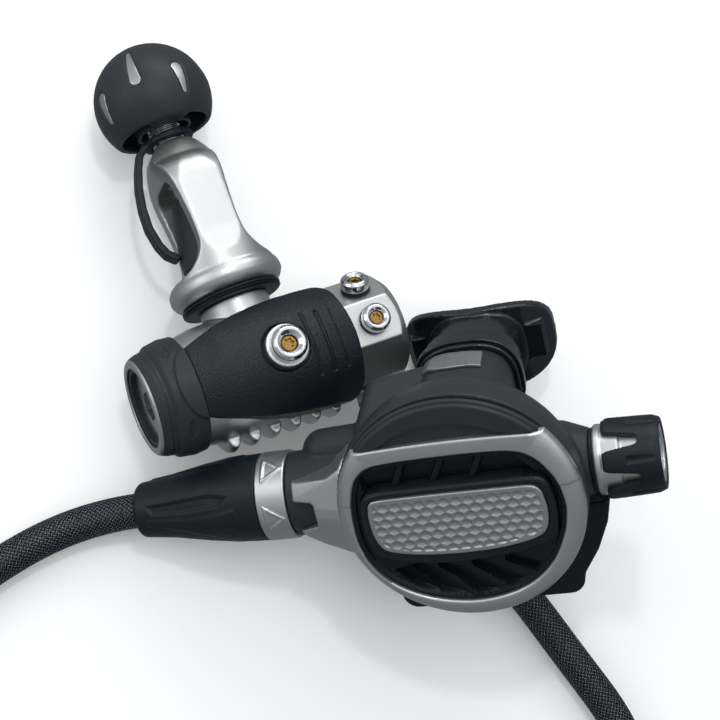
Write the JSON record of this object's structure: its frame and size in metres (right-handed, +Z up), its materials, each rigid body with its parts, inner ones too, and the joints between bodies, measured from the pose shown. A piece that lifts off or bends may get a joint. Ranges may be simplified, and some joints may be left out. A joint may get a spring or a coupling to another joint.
{
  "type": "scuba regulator set",
  "caption": "Yoke-clamp first stage with ball-knob screw and dust cap, joined by a braided low-pressure hose to a second stage with purge plate, adjusting knob, exhaust tee and mouthpiece.",
  "frame": {"origin": "on the surface that the set lies on, under the middle of the two stages' box, the hose left out", "axes": "+Z up from the surface, +Y along the longest side of the two stages' box, +X towards the second stage's adjusting knob"},
  "size_m": [0.299, 0.376, 0.1096],
  "materials": {
    "satin_metal": "satin, bead-blasted silver",
    "chrome": "polished plated brass",
    "plate_metal": "bright plated plate with dimples",
    "steel": "plain stainless steel",
    "brass": "machined brass",
    "black_moulding": "fine-grained black nylon",
    "charcoal_moulding": "matte charcoal moulding",
    "clear_moulding": "milky moulding",
    "rubber": "semi-matte black rubber",
    "silicone": "glossy dark silicone",
    "braid": "black braided nylon with silver flecks"
  },
  "bodies": {
    "set": {"first_stage_body": "satin_metal", "body_cover": "black_moulding", "diaphragm_end_cap": "black_moulding", "cap_trim_ring": "chrome", "spring_adjuster": "steel", "main_spring": "steel", "spring_pad": "brass", "first_stage_diaphragm": "rubber", "first_stage_seat": "brass", "first_stage_poppet_spring": "steel", "balance_plug": "chrome", "yoke": "satin_metal", "yoke_washer": "black_moulding", "inlet_retainer": "chrome", "inlet_filter": "brass", "filter_retaining_ring": "steel", "inlet_o_ring": "rubber", "dust_cap": "charcoal_moulding", "dust_cap_strap": "rubber", "high_pressure_plug": "chrome", "high_pressure_insert": "brass", "low_pressure_plugs": "chrome", "plug_o_rings": "rubber", "first_stage_hose_fitting": "chrome", "second_stage_case": "black_moulding", "hose_side_fairing": "satin_metal", "front_bezel": "satin_metal", "bezel_crescent": "charcoal_moulding", "front_grille": "black_moulding", "purge_spring": "steel", "second_stage_diaphragm": "silicone", "lever_pin": "steel", "valve_barrel": "chrome", "seat_orifice": "brass", "poppet_spring": "steel", "knob_o_ring": "rubber", "exhaust_valve": "silicone", "exhaust_tee": "black_moulding", "mouthpiece": "silicone", "mouthpiece_clamp": "black_moulding", "duct_plate": "satin_metal", "hose": "braid"},
    "screw_tip": {"screw_tip": "steel"},
    "yoke_screw": {"yoke_screw": "chrome", "yoke_knob": "charcoal_moulding", "knob_inlays": "satin_metal"},
    "purge_button": {"purge_carrier": "rubber", "purge_plate": "plate_metal"},
    "diaphragm_disc": {"diaphragm_disc": "clear_moulding"},
    "demand_lever": {"demand_lever": "steel"},
    "demand_poppet": {"second_stage_poppet": "clear_moulding"},
    "adjusting_knob": {"knob_core": "satin_metal", "knob_grip": "rubber"},
    "adjusting_screw": {"adjustment_screw": "brass"},
    "selector": {"selector_ring": "satin_metal", "selector_sleeve": "rubber"},
    "first_stage_valve": {"first_stage_poppet": "steel", "lifter_pin": "brass"},
    "hose_swivel": {"second_stage_hose_fitting": "chrome"}
  },
  "joints": [
    {"name": "yoke_screw_slide", "type": "slide", "parent": "set", "child": "screw_tip", "axis": [-0.3719, 0.9274, -0.0414], "range_m": [0, 0.008]},
    {"name": "yoke_screw_turn", "type": "hinge", "parent": "screw_tip", "child": "yoke_screw", "pos_m": [-0.07909, 0.08547, 0.02272], "axis": [-0.3719, 0.9274, -0.0414], "range_deg": [0, 1800]},
    {"name": "purge_push", "type": "slide", "parent": "set", "child": "purge_button", "axis": [0.284, 0.5949, -0.752], "range_m": [0, 0.0025], "stiffness_N_per_m": 500, "springref_m": -0.002, "deforming": ["purge_spring", "second_stage_diaphragm"]},
    {"name": "disc_slide", "type": "slide", "parent": "set", "child": "diaphragm_disc", "axis": [0.284, 0.5949, -0.752], "range_m": [0, 0.0025]},
    {"name": "lever_tilt", "type": "hinge", "parent": "set", "child": "demand_lever", "pos_m": [0.04433, -0.06265, 0.07383], "axis": [0.3018, -0.7999, -0.5188], "range_deg": [0, 8.8]},
    {"name": "demand_poppet_slide", "type": "slide", "parent": "set", "child": "demand_poppet", "axis": [0.9101, 0.0796, 0.4067], "range_m": [0, 0.0008], "deforming": ["poppet_spring"]},
    {"name": "adjusting_knob_turn", "type": "hinge", "parent": "set", "child": "adjusting_knob", "pos_m": [0.0867, -0.05426, 0.08556], "axis": [-0.9101, -0.0796, -0.4067], "range_deg": [0, 1080]},
    {"name": "adjusting_screw_slide", "type": "slide", "parent": "set", "child": "adjusting_screw", "axis": [-0.9101, -0.0796, -0.4067], "range_m": [0, 0.0023]},
    {"name": "selector_turn", "type": "hinge", "parent": "set", "child": "selector", "pos_m": [-0.05254, -0.06645, 0.02333], "axis": [0.9101, 0.0796, 0.4067], "range_deg": [0, 45]},
    {"name": "first_stage_valve_slide", "type": "slide", "parent": "set", "child": "first_stage_valve", "axis": [0.9204, 0.3626, -0.1461], "range_m": [0, 0.0008], "stiffness_N_per_m": 1500, "springref_m": -0.002, "deforming": ["first_stage_poppet_spring", "first_stage_diaphragm"]},
    {"name": "hose_swivel_turn", "type": "hinge", "parent": "set", "child": "hose_swivel", "pos_m": [-0.03161, -0.06461, 0.03268], "axis": [0.9101, 0.0796, 0.4067], "range_deg": [-180, 180]}
  ],
  "couplings": [
    {"joint": "yoke_screw_slide", "follows": "yoke_screw_turn", "m_per_rad": 0.00025465},
    {"joint": "disc_slide", "follows": "purge_push", "ratio": 1},
    {"joint": "lever_tilt", "follows": "purge_push", "rad_per_m": 61},
    {"joint": "demand_poppet_slide", "follows": "purge_push", "ratio": 0.31},
    {"joint": "adjusting_screw_slide", "follows": "adjusting_knob_turn", "m_per_rad": 0.00011937}
  ]
}
